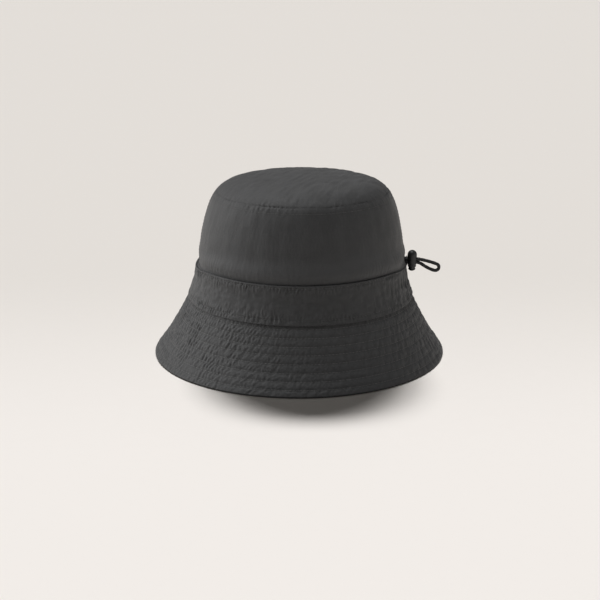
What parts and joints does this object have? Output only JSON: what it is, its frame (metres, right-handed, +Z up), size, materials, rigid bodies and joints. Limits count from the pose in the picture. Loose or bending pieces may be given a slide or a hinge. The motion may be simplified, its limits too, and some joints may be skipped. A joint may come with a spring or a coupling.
{
  "type": "bucket hat",
  "caption": "Bucket hat with a sloping quilted brim, an oval crown, a drawcord band and a sprung cord lock at the back.",
  "frame": {"origin": "centre of the brim's edge, on the plane that the brim stands on", "axes": "+Z up, -Y to the front of the hat, +Y to the back where the cord lock is, +X to the wearer's left"},
  "size_m": [0.2364, 0.2542, 0.1559],
  "materials": {
    "shell_fabric": "crisp plain-weave nylon, matt with a faint sheen",
    "sweatband_fabric": "soft twill tape",
    "lining_fabric": "smooth light lining",
    "interlining": "stiff non-woven",
    "cord": "braided elastic cord",
    "lock_plastic": "satin moulded plastic",
    "eyelet_metal": "black painted, satin",
    "spring_steel": "drawn wire",
    "label_fabric": "woven satin tape, blank"
  },
  "bodies": {
    "hat": {"crown_tip": "shell_fabric", "crown_side_left": "shell_fabric", "crown_side_right": "shell_fabric", "channel_band": "shell_fabric", "brim_top_left": "shell_fabric", "brim_top_right": "shell_fabric", "brim_under_left": "shell_fabric", "brim_under_right": "shell_fabric", "brim_interlining": "interlining", "sweatband": "sweatband_fabric", "lining_tip": "lining_fabric", "lining_side_left": "lining_fabric", "lining_side_right": "lining_fabric", "eyelet": "eyelet_metal", "eyelet_washer": "eyelet_metal", "drawcord": "cord", "drawcord_loop": "cord", "care_label": "label_fabric"},
    "lock": {"cord_lock_body": "lock_plastic", "cord_lock_spring": "spring_steel"},
    "button": {"cord_lock_button": "lock_plastic"}
  },
  "joints": [
    {"name": "lock_slide", "type": "slide", "parent": "hat", "child": "lock", "axis": [0, 0.982, -0.189], "range_m": [0, 0.01], "deforming": ["drawcord_loop"]},
    {"name": "button_press", "type": "slide", "parent": "lock", "child": "button", "axis": [0, 0, 1], "range_m": [0, 0.0018], "stiffness_N_per_m": 400, "springref_m": -0.005, "deforming": ["cord_lock_spring"]}
  ]
}
